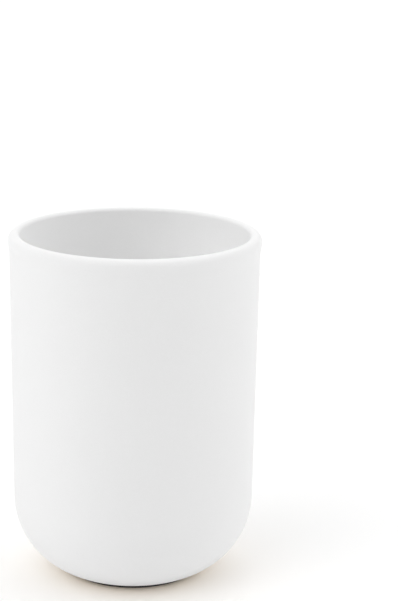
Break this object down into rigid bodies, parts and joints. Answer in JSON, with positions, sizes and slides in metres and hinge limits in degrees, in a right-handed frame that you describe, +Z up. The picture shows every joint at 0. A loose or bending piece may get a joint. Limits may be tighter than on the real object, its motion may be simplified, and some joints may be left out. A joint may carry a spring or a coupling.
{
  "type": "bathroom tumbler",
  "caption": "Plain round tumbler for the bathroom, matt white, with a softly flared lip, a very round bottom and a non-slip foot pad set into its base.",
  "frame": {"origin": "centre of the foot pad's lower face, on the surface that the tumbler stands on", "axes": "+Z up along the tumbler's axis, which is also its longest extent; X and Y are alike, because the tumbler is round"},
  "size_m": [0.075, 0.075, 0.1046],
  "materials": {
    "soft_white_plastic": "moulded plastic with a fine soft-touch surface, plain white",
    "adhesive": "clear double-sided film, slightly yellow",
    "pad_rubber": "matt dark grey soft rubber with a fine grain"
  },
  "bodies": {
    "root": {"tumbler_body": "soft_white_plastic", "pad_adhesive": "adhesive", "foot_pad": "pad_rubber"}
  },
  "joints": []
}
